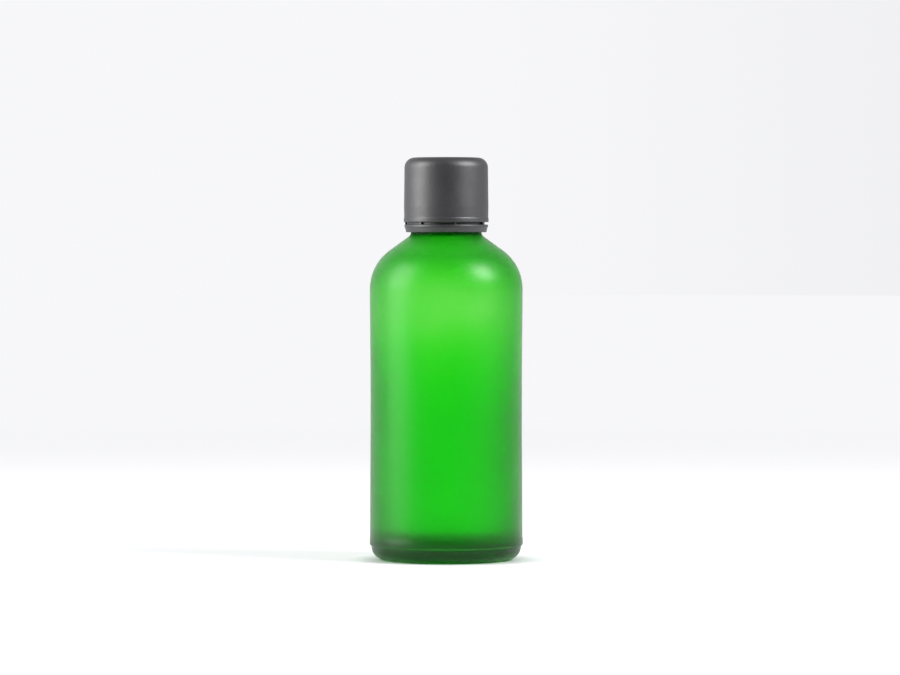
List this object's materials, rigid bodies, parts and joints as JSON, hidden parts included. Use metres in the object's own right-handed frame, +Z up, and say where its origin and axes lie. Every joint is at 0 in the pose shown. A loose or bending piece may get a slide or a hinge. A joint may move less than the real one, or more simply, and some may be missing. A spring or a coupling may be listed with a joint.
{
  "type": "aftershave bottle",
  "caption": "Round frosted glass bottle that holds and pours lotion in drops, with a screw cap that lifts off its threaded neck and a tamper band left below it.",
  "frame": {"origin": "centre of the flat ring that the bottle stands on, on the table", "axes": "+Z up along the bottle's axis, from the foot to the cap; the thin tamper bridge at -X marks the turn of the cap"},
  "size_m": [0.0448, 0.0448, 0.1173],
  "materials": {
    "frosted_glass": "satin etched, green, translucent",
    "black_plastic": "satin moulded polypropylene",
    "natural_polyethylene": "waxy, slightly translucent",
    "foam_liner": "matt closed-cell foam"
  },
  "bodies": {
    "bottle": {"glass_bottle": "frosted_glass", "pour_insert": "natural_polyethylene"},
    "liner": {"cap_liner": "foam_liner"},
    "cap": {"screw_cap": "black_plastic"},
    "band": {"tamper_band": "black_plastic", "tamper_bridges": "black_plastic"}
  },
  "joints": [
    {"name": "cap_lift", "type": "slide", "parent": "bottle", "child": "liner", "axis": [0, 0, 1], "range_m": [0, 0.0223]},
    {"name": "cap_turn", "type": "hinge", "parent": "liner", "child": "cap", "pos_m": [0, 0, 0.11], "axis": [0, 0, 1], "range_deg": [0, 2520]},
    {"name": "band_turn", "type": "hinge", "parent": "bottle", "child": "band", "pos_m": [0, 0, 0.0966], "axis": [0, 0, 1], "continuous": true}
  ],
  "couplings": [
    {"joint": "cap_lift", "follows": "cap_turn", "m_per_rad": 0.00050532}
  ]
}
